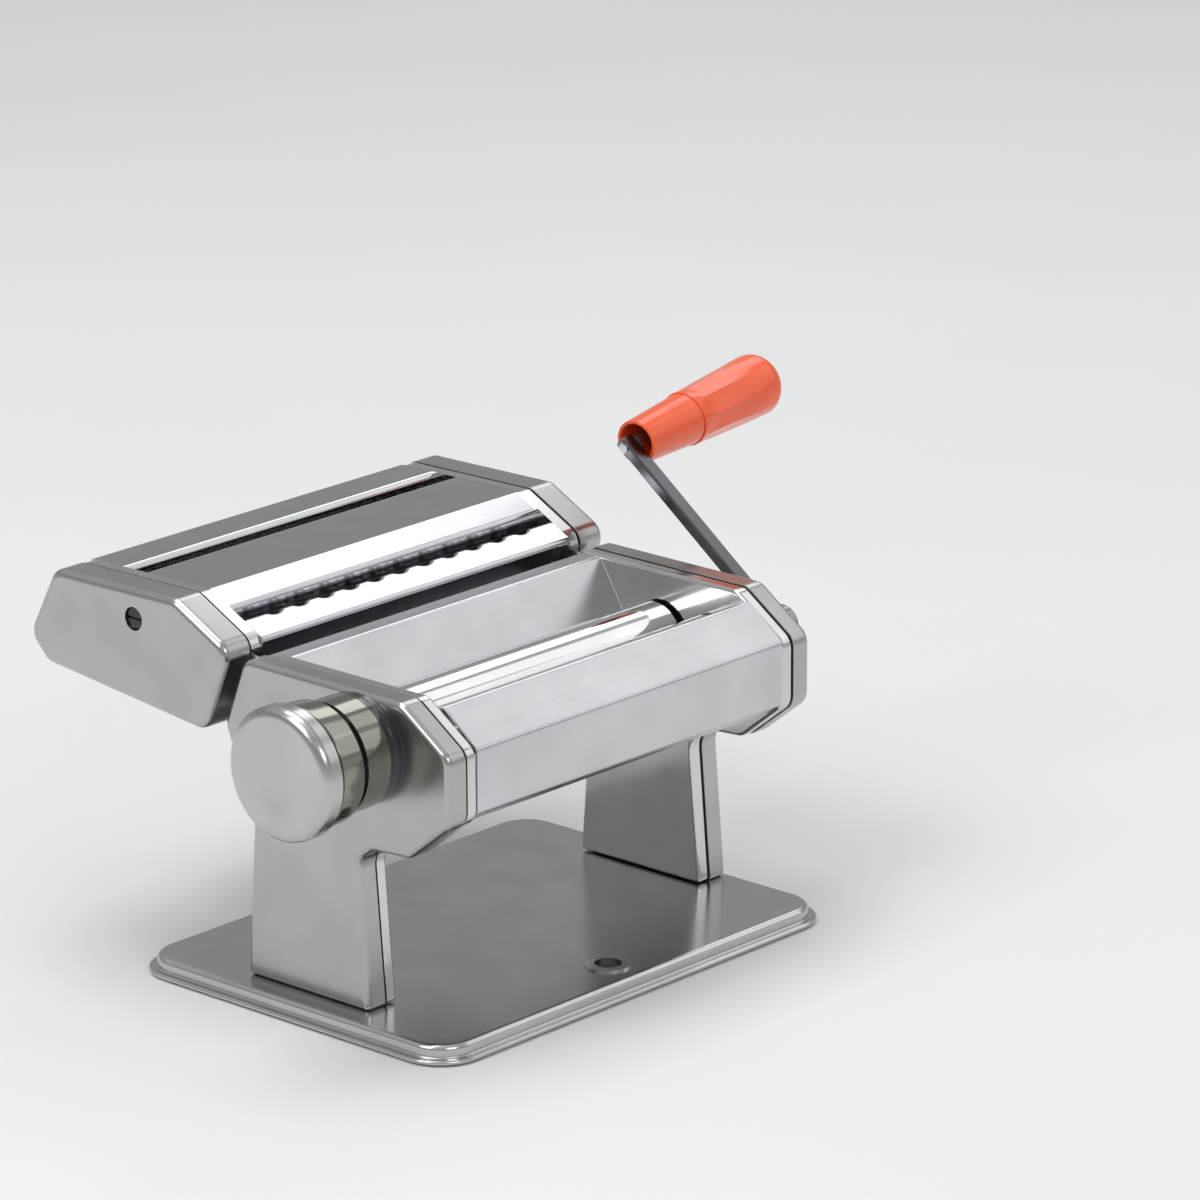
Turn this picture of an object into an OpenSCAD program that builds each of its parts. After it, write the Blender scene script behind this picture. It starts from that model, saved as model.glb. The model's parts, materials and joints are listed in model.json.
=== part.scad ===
// Hand-cranked pasta roller machine with a lift-off cutter head.
// X runs along the rollers (adjusting knob at -X, crank at +X), +Y points to the cutter head,
// Z is up. The origin is at table level, under the middle of the two side covers.

/* [Side covers] */
// Distance between the outer faces of the two pressed side covers
cover_span = 192; // [190:0.5:194]
// Depth of a pressed side cover, from its face to its seam
cover_depth = 9; // [8.5:0.1:9.5]
// Thickness of the pressed sheet
sheet = 1; // [0.8:0.1:1.1]

/* [Base] */
// Length of the base plate along the rollers
base_len = 204.5; // [200:0.5:208]
// Depth of the base plate from front to back
base_depth = 150; // [146:1:154]
// Corner radius of the base plate
base_r = 14; // [10:1:18]
// Width of the rolled lip around the base plate
base_lip = 3; // [2:0.5:4]

/* [Rollers] */
// Radius of the smooth rollers
roller_r = 13; // [12.6:0.1:13]
// Narrowest gap between the smooth rollers
gap_min = 0.3; // [0.3:0.05:0.5]
// How far the rear roller can move away from the front one
gap_travel = 2.7; // [2.4:0.1:2.7]
// Length of the smooth rollers
roller_len = 158; // [150:1:159]

/* [Knob] */
// Radius of the knob's cap
cap_r = 24.4; // [23.6:0.1:25]
// Radius of the fixed dial collar
collar_r = 20.8; // [20.6:0.1:21.2]

/* [Crank] */
// Distance from the crank's hub to its grip pin
arm_len = 88; // [84:0.5:88]
// Length of the grip
grip_len = 81; // [76:0.5:84]

/* [Cutter head] */
// Depth of the cutter head's pressed covers
cutter_depth = 13; // [12:0.5:13]
// Width of a strip from the wide cutter
wide_strip = 6.5; // [6:0.5:7]
// Width of a strip from the narrow cutter
narrow_strip = 2; // [2:0.1:2.2]

/* [Hidden] */
$fn = 96;

// Layers of one side, as distances from the middle of the machine
face_x = cover_span / 2;
seam_x = face_x - cover_depth;
seal_x = seam_x - 1;
shell_x = 81;
plate_x = shell_x + sheet;
plate_t = 2.5;
plate_end = plate_x + plate_t;
slide_x = plate_end + 0.5;
slide_end = slide_x + 1.8;
gear_x = slide_end + 0.5;
gear_w = 5;

// Heights and outlines of the main head: [y, z, corner radius], anticlockwise seen from +X
base_h = 7;
head_top = 125.5;
head_path = [
    [-29.5, base_h, 2], [30.5, base_h, 2], [26.5, 67, 14], [40, 99, 6], [30, head_top, 6],
    [-47, head_top, 7], [-69.5, 110, 7], [-69.5, 85, 7], [-49.5, 69, 7], [-24.5, 67.5, 9]];

// Axes of the two smooth rollers, [y, z]
front_axis = [-35.3, 100.5];
rear_axis = front_axis + [2 * roller_r + gap_min, 0];
journal_r = 6;
socket_r = 4;
running = 0.05;

// Base plate, with the covers standing nearer to its right end
base_x0 = -106;
base_mid = base_x0 + base_len / 2;
base_floor = 0.6;
screw_r = 2;
screw_y = 12;
screw_x = 90;
foot_z = base_h + 0.4 + sheet;
foot_t = 2;
clamp_y = -60;
clamp_r = 5;
socket_wall_r = 8.5;

// Rods through the frame, [y, z]
rod_r = 3;
rods = [[-37, 75], [-7, 75], [26, 110], [-60, 97]];
carriage_rod = [4, 83];
guides = [[6, 112], [-12, 86]];
guide_r = 2.5;

// Regulator and knob: axis [y, z], then distances outwards along -X
knob_axis = [-26.7, 105];
cam_t = 3;
cam_x = slide_end + 0.4;
cam_r = 9;
pin_r = 1.5;
cam_gap = 0.15;
cam_turn = 270;
bracket_x = cam_x + cam_t + 0.8;
bracket_t = 2;
bushing_r = 8;
shaft_r = 4;
ring_x = face_x;
collar_x = ring_x + 5.5;
collar_end = collar_x + 11;
collar_floor = 3;
sleeve_r = 19.4;
skirt_x = collar_end + 3.5;
band_x = skirt_x + 11;
cap_x = band_x + 1.6;
cap_end = cap_x + 8.4;
core_x = collar_x + collar_floor + 1;
neck_r = 3;
hub_r = 8;
peg_ring_r = 14;
stop_angles = [-82, -45, -8];
spring_x = 115;
spring_end = 124;
spring_wire = 0.5;
spring_r = 4.4;

// Crank: its hub is on the front roller's axis and its arm leans towards the cover
hub_x = 117.8;
arm_turn = -47.6;
arm_lean = -6.4;
arm_w = 4.4;
arm_t = 6.4;
mouth_gap = 0.75;
grip_x = arm_t / 2 + mouth_gap;
grip_step = 30;
grip_pin_r = 3;
grip_r = 12.1;

// Cutter head outline, [y, z, corner radius]
cutter_path = [
    [46, 95.5, 6], [127, 104.5, 7], [136, 114, 7], [122, 141, 7], [60, 142, 7], [33, 128, 7]];
wide_r = 9;
cutter_lean = 21.46;
wide_nip = [58.9, 117];
wide_axes = [for (s = [-1, 1]) wide_nip + 8.5 * s * [cos(cutter_lean), sin(cutter_lean)]];
narrow_r = 8.5;
narrow_axes = [[90.9, 120], [106.9, 120]];
cutter_len = 158;
groove = 2.2;
cutter_face = shell_x + 2;
cutter_face_x = seam_x + cutter_depth;
cutter_gear_x = seam_x + 0.5;
cutter_gear_w = 4.5;
bolt_axes = [[80.7, 130.6], [120, 118]];
rail_origin = [40, 99];
rail_len = 22;
slot_y = 46.2;
scallop_r = 7;
scallop_depth = 1.4;

// 2-D helpers
function unit(v) = v / norm(v);
function flat(p) = [p[0], p[1]];
function left(v) = [-v[1], v[0]];
function arc_at(p, q, s, r, n = 6) =
    let (u = unit(p - q), v = unit(s - q), h = acos(u * v) / 2,
         c = q + unit(u + v) * r / sin(h),
         from = q + u * r / tan(h) - c, to = q + v * r / tan(h) - c,
         a = atan2(from[1], from[0]), b = atan2(to[1], to[0]),
         turn = (b - a + 540) % 360 - 180)
    [for (i = [0:n]) c + r * [cos(a + turn * i / n), sin(a + turn * i / n)]];
function rounded(path) =
    let (n = len(path))
    [for (i = [0:n - 1])
        each arc_at(flat(path[(i + n - 1) % n]), flat(path[i]), flat(path[(i + 1) % n]), path[i][2])];
function inset(path, t) =
    let (n = len(path))
    [for (i = [0:n - 1])
        let (q = flat(path[i]), a = unit(q - flat(path[(i + n - 1) % n])),
             b = unit(flat(path[(i + 1) % n]) - q),
             p = q + t * (left(a) + left(b)) / (1 + left(a) * left(b)),
             r = left(a) * b > 0 ? max(path[i][2] - t, 0.4) : path[i][2] + t)
        [p[0], p[1], r]];
function bend(path, r) =
    [path[0], for (i = [1:len(path) - 2]) each arc_at(path[i - 1], path[i], path[i + 1], r, 5),
     path[len(path) - 1]];
function beside(path, t) =
    let (n = len(path))
    [for (i = [0:n - 1])
        let (a = unit(path[max(i, 1)] - path[max(i, 1) - 1]),
             b = unit(path[min(i, n - 2) + 1] - path[min(i, n - 2)]))
        path[i] + t * (left(a) + left(b)) / (1 + left(a) * left(b))];
function backwards(list) = [for (i = [len(list) - 1:-1:0]) list[i]];
function strip(path, t) = concat(path, backwards(beside(path, t)));
function rectangle(x0, y0, x1, y1, r) = [[x0, y0, r], [x1, y0, r], [x1, y1, r], [x0, y1, r]];

// Involute gear outline: one flank at radius rad lies at flank(rad) degrees from the tooth's middle
function involute(t) = t * 180 / PI - atan(t);
function flank(rad, rb, rp, teeth, thin) =
    90 * (1 - thin) / teeth + involute(sqrt(pow(rp / rb, 2) - 1))
    - involute(sqrt(pow(max(rad, rb) / rb, 2) - 1));
function tooth(teeth, m, thin) =
    let (rp = m * teeth / 2, rb = rp * cos(20), tip = rp + m, root = rp - 1.2 * m,
         radii = [root, for (i = [0:4]) max(rb, root) + (tip - max(rb, root)) * i / 4])
    [for (r = radii) [r, flank(r, rb, rp, teeth, thin)]];
function gear_path(teeth, m, phase, thin) =
    let (half = tooth(teeth, m, thin))
    [for (k = [0:teeth - 1])
        let (mid = phase + 360 * k / teeth)
        each concat([for (p = half) p[0] * [cos(mid - p[1]), sin(mid - p[1])]],
                    [for (p = backwards(half)) p[0] * [cos(mid + p[1]), sin(mid + p[1])]])];

// 3-D helpers: everything across the machine is built along X
module profile(points, x0, x1)
    translate([x0, 0, 0]) rotate([90, 0, 90]) linear_extrude(x1 - x0) polygon(points);
module plate(path, x0, x1) profile(rounded(path), x0, x1);
module bar(axis, x0, x1, r)
    translate([x0, axis[0], axis[1]]) rotate([0, 90, 0]) cylinder(h = x1 - x0, r = r);
module tube(axis, x0, x1, r, bore) {
    difference() {
        bar(axis, x0, x1, r);
        bar(axis, x0 - 1, x1 + 1, bore);
    }
}
module slot(axis, travel, x0, x1, r) {
    bar(axis, x0, x1, r);
    bar(axis + [travel, 0], x0, x1, r);
    translate([x0, axis[0], axis[1] - r]) cube([x1 - x0, travel, 2 * r]);
}
module right_side() children();
module left_side() mirror([1, 0, 0]) children();
module both_sides() {
    children();
    mirror([1, 0, 0]) children();
}
module turned(points)
    translate([0, knob_axis[0], knob_axis[1]]) rotate([0, -90, 0]) rotate_extrude() polygon(points);
module shell(path, x0, x1) {
    difference() {
        plate(path, x0, x1);
        plate(inset(path, sheet), x0 - 1, x1 - sheet);
    }
}
module tray(path, x0, x1, floor_t) {
    difference() {
        plate(path, x0, x1);
        plate(inset(path, sheet), x0 + floor_t, x1 + 1);
    }
}
module seal(path) {
    difference() {
        plate(inset(path, 0.9), seal_x, seam_x);
        plate(inset(path, 4), seal_x - 1, seam_x + 1);
    }
}
module gear(axis, teeth, m, phase, thin, x0, w, bore) {
    difference() {
        translate([0, axis[0], axis[1]]) profile(gear_path(teeth, m, phase, thin), x0, x0 + w);
        bar(axis, x0 - 1, x0 + w + 1, bore);
    }
}
module on_crank() translate([hub_x, front_axis[0], front_axis[1]])
    rotate([arm_turn, 0, 0]) rotate([0, arm_lean, 0]) children();
module on_grip(points)
    on_crank() translate([0, 0, arm_len]) rotate([0, 90, 0]) rotate_extrude() polygon(points);
module on_rail() translate([0, rail_origin[0], rail_origin[1]]) rotate([cutter_lean, 0, 0]) children();

// Base
module base_plate() color("#8f8e8c") {
    outer = rectangle(base_x0, -base_depth / 2, base_x0 + base_len, base_depth / 2, base_r);
    difference() {
        union() {
            translate([0, 0, base_floor]) linear_extrude(base_h - base_floor) polygon(rounded(outer));
            translate([0, 0, base_floor]) linear_extrude(1.8) polygon(rounded(inset(outer, -base_lip)));
        }
        translate([0, 0, -1]) linear_extrude(base_h - 1.2 + 1) polygon(rounded(inset(outer, 1.2)));
        for (x = [-screw_x, screw_x], y = [-screw_y, screw_y])
            translate([x, y, 0]) cylinder(h = base_h + 1, r = screw_r);
        translate([base_mid, clamp_y, 0]) cylinder(h = base_h + 1, r = socket_wall_r);
    }
}
module rubber_feet() color("#1c1c1d")
    for (x = [base_x0 + 17, base_x0 + base_len - 17], y = [-1, 1] * (base_depth / 2 - 17))
        translate([x, y, 0]) cylinder(h = base_h - 1.2, r = 9);
module clamp_socket() color("#9c9c9e") {
    difference() {
        translate([base_mid, clamp_y, 1.2]) cylinder(h = base_h - 0.4, r = socket_wall_r);
        translate([base_mid, clamp_y, 0]) cylinder(h = base_h + 2, r = clamp_r);
    }
}
module base_screws() color("#77787a")
    for (x = [-screw_x, screw_x], y = [-screw_y, screw_y]) translate([x, y, 0]) {
        translate([0, 0, 3.2]) cylinder(h = 2.6, r = 4);
        translate([0, 0, 3.2]) cylinder(h = foot_z + foot_t + 0.6, r = screw_r);
        translate([0, 0, foot_z + foot_t]) cylinder(h = 2.8, r = 4.2, $fn = 6);
    }

// Side covers, seals, inner shells and frame plates
module left_cover() color("#b4b2ae") left_side() {
    difference() {
        shell(head_path, seam_x, face_x);
        bar(knob_axis, face_x - 2, face_x + 1, 12);
        screw_holes();
    }
}
module right_cover() color("#b4b2ae") right_side() {
    difference() {
        shell(head_path, seam_x, face_x);
        bar(front_axis, face_x - 2, face_x + 1, 9);
        screw_holes();
    }
}
module gap_seals() color("#0c0c0d") both_sides() {
    difference() {
        seal(head_path);
        translate([seal_x - 1, -20.5, base_h - 1]) cube([3, 41, 6]);
    }
}
module screw_holes()
    for (y = [-screw_y, screw_y]) translate([screw_x, y, base_h - 1]) cylinder(h = 5, r = screw_r);
module main_shell() {
    difference() {
        tray(inset(head_path, 0.4), shell_x, seal_x, sheet);
        bar(front_axis, shell_x - 1, plate_x + 1, bushing_r);
        slot(rear_axis, gap_travel, shell_x - 1, plate_x + 1, journal_r);
        slot(carriage_rod, gap_travel, shell_x - 1, plate_x + 1, rod_r + 0.5);
        for (r = rods) bar(r, shell_x - 1, plate_x + 1, rod_r);
    }
}
module left_inner_shell() color("#d6d6d8") left_side() main_shell();
module right_inner_shell() color("#d6d6d8") right_side() main_shell();
module frame_plate() {
    difference() {
        union() {
            plate(inset(head_path, 3), plate_x, plate_end);
            translate([plate_x, -20, foot_z]) cube([plate_t, 40, 4]);
            translate([plate_x, -20, foot_z]) cube([11, 40, foot_t]);
        }
        bar(front_axis, plate_x - 1, plate_end + 1, bushing_r);
        slot(rear_axis, gap_travel, plate_x - 1, plate_end + 1, journal_r);
        slot(carriage_rod, gap_travel, plate_x - 1, plate_end + 1, rod_r + 0.5);
        for (r = rods) bar(r, plate_x - 1, plate_end + 1, rod_r);
        for (g = guides) bar(g, plate_x - 1, plate_end + 1, guide_r);
        screw_holes();
    }
}
module left_frame_plate() color("#9a9b9d") left_side() frame_plate();
module right_frame_plate() color("#9a9b9d") right_side() frame_plate();

// Panels that close the head, rods and scrapers
module front_panel() color("#aeb2b8")
    profile(strip(bend([[-47.5, 111.5], [-51.5, 123.8], [-69.2, 110], [-69.2, 86.5], [-63, 82]], 2.5),
                  sheet), -shell_x, shell_x);
module rear_panel() color("#9a9c9f")
    profile(strip(bend([[8.5, 106], [20, 124.6], [29, 124.6], [38.8, 99.2], [26, 71]], 2.5),
                  -sheet), -shell_x, shell_x);
module tie_rods() color("#8a8b8d") for (r = rods) bar(r, -plate_end, plate_end, rod_r);
module roller_scrapers() color("#c2c3c5") {
    profile(strip([[-28.6, 88.9], [-32.6, 78.6]], 0.8), -shell_x, shell_x);
    profile(strip([[-15.7, 88.9], [-11.7, 78.6]], -0.8), -shell_x, shell_x);
}
module front_bushings() color("#b08d57") both_sides() {
    tube(front_axis, shell_x, plate_end, bushing_r, journal_r + running);
    tube(front_axis, shell_x - 1, shell_x, bushing_r + 1.5, journal_r + running);
}
module guide_pins() color("#8a8b8d") both_sides()
    for (g = guides) bar(g, plate_x, slide_end, guide_r);
module cutter_rails() color("#808184") both_sides() on_rail() {
    translate([82, -0.07, 2]) cube([4, 1.27, rail_len]);
    translate([83.9, 0, 2]) cube([1.2, 7, rail_len]);
    translate([83.3, 6, 2]) cube([2.4, 1.2, rail_len]);
}

// Thickness regulator, fixed part
module regulator_bracket() color("#8a8b8d") left_side() {
    difference() {
        translate([bracket_x, -44, 79]) cube([bracket_t, 35, 42.5]);
        bar(knob_axis, bracket_x - 1, bracket_x + 3, bushing_r);
    }
    translate([plate_end, -44, 79]) cube([bracket_x - plate_end, 22, 2]);
    translate([plate_end, -44, 119.5]) cube([bracket_x - plate_end, 35, 2]);
}
module regulator_bushing() color("#b08d57") left_side()
    tube(knob_axis, bracket_x, collar_x + 1.5, bushing_r, shaft_r + running);
module dial_ring() color("#2a2b2d") left_side() tube(knob_axis, ring_x, collar_x, collar_r - 0.3, bushing_r);
module dial_collar() color("#b9b8b0") {
    difference() {
        turned([[bushing_r, collar_x], [collar_r, collar_x], [collar_r, collar_end],
                [sleeve_r + 0.3, collar_end], [sleeve_r + 0.3, collar_x + collar_floor],
                [bushing_r, collar_x + collar_floor]]);
        stop_slot();
    }
}
// Arc slot in the collar's floor that the knob's peg runs in, with a stop at each end
module stop_slot() left_side() {
    difference() {
        tube(knob_axis, collar_x + 0.9, collar_x + collar_floor + 1, peg_ring_r + 2, peg_ring_r - 2);
        translate([0, knob_axis[0], knob_axis[1]])
            profile([[0, 0], for (a = stop_angles) 30 * [cos(a), sin(a)]], collar_x, collar_end);
    }
}

// Smooth rollers with their gears
module front_roller() color("#e2e3e5") {
    difference() {
        union() {
            bar(front_axis, -roller_len / 2, roller_len / 2, roller_r);
            bar(front_axis, -plate_end, face_x + 4, journal_r);
        }
        bar(front_axis, face_x - 8, face_x + 5, socket_r + running);
        translate([face_x, front_axis[0] - 1.7, front_axis[1] - 10]) cube([5, 3.4, 20]);
    }
}
module rear_roller() color("#e2e3e5") {
    bar(rear_axis, -roller_len / 2, roller_len / 2, roller_r);
    bar(rear_axis, -slide_end, gear_x + gear_w, journal_r - 1);
}
module front_gear() color("#6f7073")
    gear(front_axis, 13, 2, 0, 0.06, gear_x, gear_w, journal_r);
module rear_gear() color("#6f7073")
    gear(rear_axis, 13, 2, 180 + 180 / 13, 0.06, gear_x, gear_w, journal_r - 1);

// Carriage that carries the rear roller
module slide_plate() {
    difference() {
        translate([slide_x, -20, 76]) cube([slide_end - slide_x, 34, 42]);
        bar(rear_axis, slide_x - 1, slide_end + 1, journal_r + 0.5);
        bar(carriage_rod, slide_x - 1, slide_end + 1, rod_r);
        for (g = guides) slot(g - [gap_travel, 0], gap_travel, slide_x - 1, slide_end + 1, guide_r + running);
    }
}
module left_slide_plate() color("#9a9b9d") left_side() {
    difference() {
        slide_plate();
        bar(pin_axis(), slide_x - 1, slide_end + 1, pin_r);
    }
}
module right_slide_plate() color("#9a9b9d") right_side() slide_plate();
module rear_bushings() color("#b08d57") both_sides()
    tube(rear_axis, slide_x, slide_end, journal_r + 0.5, journal_r - 1 + running);
module carriage_bar() color("#8a8b8d") bar(carriage_rod, -slide_end, slide_end, rod_r);
function pin_axis() = knob_axis + [cam_r + pin_r + cam_gap, 0];
module follower_pin() color("#8a8b8d") left_side() bar(pin_axis(), slide_x, cam_x + cam_t, pin_r);

// Thickness regulator, turning part
function cam_rise(a) = a <= cam_turn ? gap_travel * a / cam_turn
    : a <= cam_turn + 10 ? gap_travel
    : a < 350 ? gap_travel * (350 - a) / (340 - cam_turn) : 0;
module regulator_cam() color("#9a9b9d") left_side() {
    difference() {
        translate([0, knob_axis[0], knob_axis[1]])
            profile([for (a = [355:-5:0]) (cam_r + cam_rise(a)) * [cos(-a), sin(-a)]], cam_x, cam_x + cam_t);
        bar(knob_axis, cam_x - 1, cam_x + cam_t + 1, shaft_r);
    }
}
module regulator_shaft() color("#8a8b8d")
    turned([[0, cam_x], [shaft_r, cam_x], [shaft_r, core_x + 4.5], [neck_r, core_x + 4.5],
            [neck_r, spring_end], [5.6, spring_end], [5.6, spring_end + 2.5], [0, spring_end + 2.5]]);

// Knob
module knob_core() color("#141415") {
    turned([[shaft_r + 0.3, core_x], [sleeve_r, core_x], [sleeve_r, cap_x - 0.4], [sleeve_r - 1.5, cap_x - 0.4],
            [sleeve_r - 1.5, core_x + 2], [hub_r, core_x + 2], [hub_r, spring_end + 2],
            [hub_r - 2, spring_end + 2], [hub_r - 2, spring_x], [neck_r + running, spring_x],
            [neck_r + running, core_x + 5.5], [shaft_r + 0.3, core_x + 5.5]]);
    left_side() bar(knob_axis + [peg_ring_r, 0], collar_x + 1.5, core_x + 0.5, 1.5);
}
module knob_skirt() color("#b9b8b0")
    turned([[sleeve_r, skirt_x], [cap_r - 1.9, skirt_x], [cap_r - 1.1, band_x], [sleeve_r, band_x]]);
module knob_band() color("#0e0e0f") left_side() tube(knob_axis, band_x, cap_x, cap_r - 0.9, sleeve_r);
// Cap: thin cup with a rounded rim and a dished face
module knob_cap() color("#c4c3bf") {
    rim = 4;
    dish_r = 17;
    dish_depth = 1.8;
    turned(concat(
        [[sleeve_r, cap_x], [cap_r, cap_x]],
        [for (a = [0:15:90]) [cap_r - rim + rim * cos(a), cap_end - rim + rim * sin(a)]],
        [for (i = [0:6]) [dish_r * (1 - i / 6), cap_end - dish_depth * (1 - pow(1 - i / 6, 2))]],
        [[0, cap_end - 3], [sleeve_r - 1.5, cap_end - 3], [sleeve_r, cap_end - 4.5]]));
}
// Return spring: a round wire swept along a helix
module knob_spring() color("#a9aaac") left_side() {
    turns = 4;
    steps = 14;
    sides = 6;
    n = turns * steps;
    rise = spring_end - spring_x - 2 * spring_wire;
    rings = [for (i = [0:n]) for (j = [0:sides - 1])
        let (a = 360 * i / steps, b = 360 * j / sides, r = spring_r + spring_wire * cos(b))
        [spring_x + spring_wire + rise * i / n + spring_wire * sin(b),
         knob_axis[0] + r * cos(a), knob_axis[1] + r * sin(a)]];
    walls = [for (i = [0:n - 1]) for (j = [0:sides - 1])
        let (k = (j + 1) % sides)
        [i * sides + j, i * sides + k, (i + 1) * sides + k, (i + 1) * sides + j]];
    ends = [backwards([for (j = [0:sides - 1]) j]), [for (j = [0:sides - 1]) n * sides + j]];
    polyhedron(points = rings, faces = concat(walls, ends));
}

// Crank
module crank_stub() color("#707174") {
    bar(front_axis, face_x - 7, hub_x - 6, socket_r);
    translate([face_x + 2, front_axis[0], front_axis[1] - 5.5]) cylinder(h = 11, r = 1.4);
}
module crank_arm() color("#55565a") {
    difference() {
        union() {
            on_crank() translate([-arm_t / 2, -arm_w / 2, 0]) cube([arm_t, arm_w, arm_len + 3.5]);
            bar(front_axis, face_x + 5, hub_x + 4, 7.5);
        }
        bar(front_axis, face_x + 4, hub_x - 6, socket_r);
        on_crank() translate([-10, 0, arm_len]) rotate([0, 90, 0]) cylinder(h = 20, r = 1.8);
    }
}
module grip_pin() color("#8a8b8d")
    on_grip([[0, -arm_t / 2 - 0.6], [1.8, -arm_t / 2 - 0.6], [1.8, arm_t / 2], [grip_pin_r, arm_t / 2],
             [grip_pin_r, grip_x + grip_len - 12], [4.6, grip_x + grip_len - 12],
             [4.6, grip_x + grip_len - 9.5], [0, grip_x + grip_len - 9.5]]);
module grip_collar() color("#fa6938")
    on_grip([[7.2, grip_x], [8.6, grip_x], [10.1, grip_x + grip_step], [grip_pin_r + running, grip_x + grip_step],
             [grip_pin_r + running, grip_x + 18], [7.2, grip_x + 16]]);
module grip_body() color("#fa6938") {
    end = grip_x + grip_len;
    pocket = end - 12.4;
    on_grip(concat(
        [[grip_pin_r + running, grip_x + grip_step], [10.6, grip_x + grip_step], [grip_r, end - 13]],
        [for (a = [0:15:90]) [grip_r - 7 + 7 * cos(a), end - 7 + 7 * sin(a)]],
        [[0, end], [0, end - 9], [5, end - 9], [5, pocket], [grip_pin_r + running, pocket]]));
}

// Cutter head
module cutter_left_cover() color("#b4b2ae") left_side() {
    difference() {
        shell(cutter_path, seam_x, cutter_face_x);
        bar(bolt_axes[0], cutter_face_x - 2, cutter_face_x + 1, 4.3);
    }
}
module cutter_right_cover() color("#b4b2ae") right_side() {
    difference() {
        shell(cutter_path, seam_x, cutter_face_x);
        bar(bolt_axes[0], cutter_face_x - 2, cutter_face_x + 1, 4.3);
        for (a = [wide_axes[0], narrow_axes[0]]) bar(a, cutter_face_x - 2, cutter_face_x + 1, 7);
    }
}
module cutter_gap_seals() color("#0c0c0d") both_sides() seal(cutter_path);
module cutter_shell(drive_r) {
    difference() {
        tray(inset(cutter_path, 0.4), shell_x, seal_x, cutter_face - shell_x);
        for (a = [wide_axes[0], narrow_axes[0]]) bar(a, shell_x - 1, cutter_face + 1, drive_r + running);
        for (a = [wide_axes[1], narrow_axes[1]]) bar(a, shell_x - 1, cutter_face + 1, 4 + running);
        for (b = bolt_axes) bar(b, shell_x - 1, cutter_face + 1, 2.5);
        on_rail() translate([83.6, 3, -12]) cube([1.8, 4, rail_len + 14.3]);
        on_rail() translate([83.15, 5.9, -12]) cube([2.95, 1.4, rail_len + 14.3]);
    }
}
module cutter_inner_shells() color("#d6d6d8") {
    right_side() cutter_shell(journal_r);
    left_side() cutter_shell(4);
}
module cutter_back_plate() color("#a4a5a8")
    profile(strip(bend([[103.5, 133.5], [103.5, 140.9], [121.6, 140.6], [135.4, 114.1], [126.8, 105], [117, 103.9]],
                       2.5), -sheet), -shell_x, shell_x);
module cutter_centre_plate() color("#b0b1b4")
    profile(strip(bend([[94.5, 133.5], [94.5, 141], [61, 141.5], [50.8, 136.2], [50.8, 129.8]], 2.5), sheet),
            -shell_x, shell_x);
// The slot's edge is scalloped, with one scallop to each pair of wide strips
module cutter_front_plate() color("#b0b1b4") {
    difference() {
        profile(strip(bend([[slot_y, 128.4], [slot_y, 134], [34, 128.2], [46.3, 96], [56, 97.1]], 2), sheet),
                -shell_x, shell_x);
        for (k = [-5:5]) translate([2 * wide_strip * k, slot_y + scallop_r - scallop_depth, 127])
            cylinder(h = 9, r = scallop_r);
    }
}
module comb(axis, side, r, pitch, shift) {
    foot = axis[1] - r - 4.5;
    finger = pitch / 2 - 1.1;
    limit = cutter_len / 2 - pitch / 2;
    translate([-shell_x, axis[0] + side * 2 - 1.2, foot - 2]) cube([2 * shell_x, 2.4, 2]);
    for (x = [-40 * pitch:pitch:40 * pitch])
        if (abs(x + shift) < limit)
            translate([x + shift - finger / 2, axis[0] + side * 2 - 0.6, foot]) cube([finger, 1.2, 5.6]);
}
module cutter_combs() color("#c2c3c5") {
    comb(wide_axes[0], -1, wide_r, 2 * wide_strip, wide_strip);
    comb(wide_axes[1], 1, wide_r, 2 * wide_strip, 0);
    comb(narrow_axes[0], -1, narrow_r, 2 * narrow_strip, narrow_strip);
    comb(narrow_axes[1], 1, narrow_r, 2 * narrow_strip, 0);
}
module cutter_tie_bolts() color("#77787a") {
    difference() {
        union() {
            bar(bolt_axes[0], -cutter_face_x + 1, cutter_face_x - 1, 2.5);
            both_sides() bar(bolt_axes[0], cutter_face_x - 2.6, cutter_face_x - 1, 3.9);
        }
        both_sides() translate([cutter_face_x - 1.8, bolt_axes[0][0] - 5, bolt_axes[0][1] - 0.5]) cube([2, 10, 1]);
    }
    bar(bolt_axes[1], -cutter_face, cutter_face, 2.5);
}
// Cutter roller: rings and grooves of one strip's width, with journals
module cutter(axis, r, width, shift, gear_journal, drive) {
    slack = width > 4 ? 0.15 : 0.2;
    ring = width - 2 * slack;
    limit = cutter_len / 2 - width;
    mids = [for (k = [-40:40]) if (abs(2 * width * k + shift) < limit) 2 * width * k + shift];
    difference() {
        union() {
            translate([0, axis[0], axis[1]]) rotate([0, 90, 0]) rotate_extrude()
                polygon(concat(
                    [[0, -cutter_len / 2], [r - groove, -cutter_len / 2]],
                    [for (x = mids) each [[r - groove, x - ring / 2], [r, x - ring / 2],
                                          [r, x + ring / 2], [r - groove, x + ring / 2]]],
                    [[r - groove, cutter_len / 2], [0, cutter_len / 2]]));
            bar(axis, -seal_x, 0, 4);
            bar(axis, 0, drive ? cutter_face_x - 0.5 : cutter_gear_x + cutter_gear_w, gear_journal);
        }
        if (drive) bar(axis, cutter_face_x - 11, cutter_face_x, socket_r + running);
    }
}
module wide_cutter_front() color("#cfd0d2")
    cutter(wide_axes[0], wide_r, wide_strip, 0, journal_r, true);
module wide_cutter_rear() color("#cfd0d2")
    cutter(wide_axes[1], wide_r, wide_strip, wide_strip, 4, false);
module narrow_cutter_front() color("#cfd0d2")
    cutter(narrow_axes[0], narrow_r, narrow_strip, 0, journal_r, true);
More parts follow.
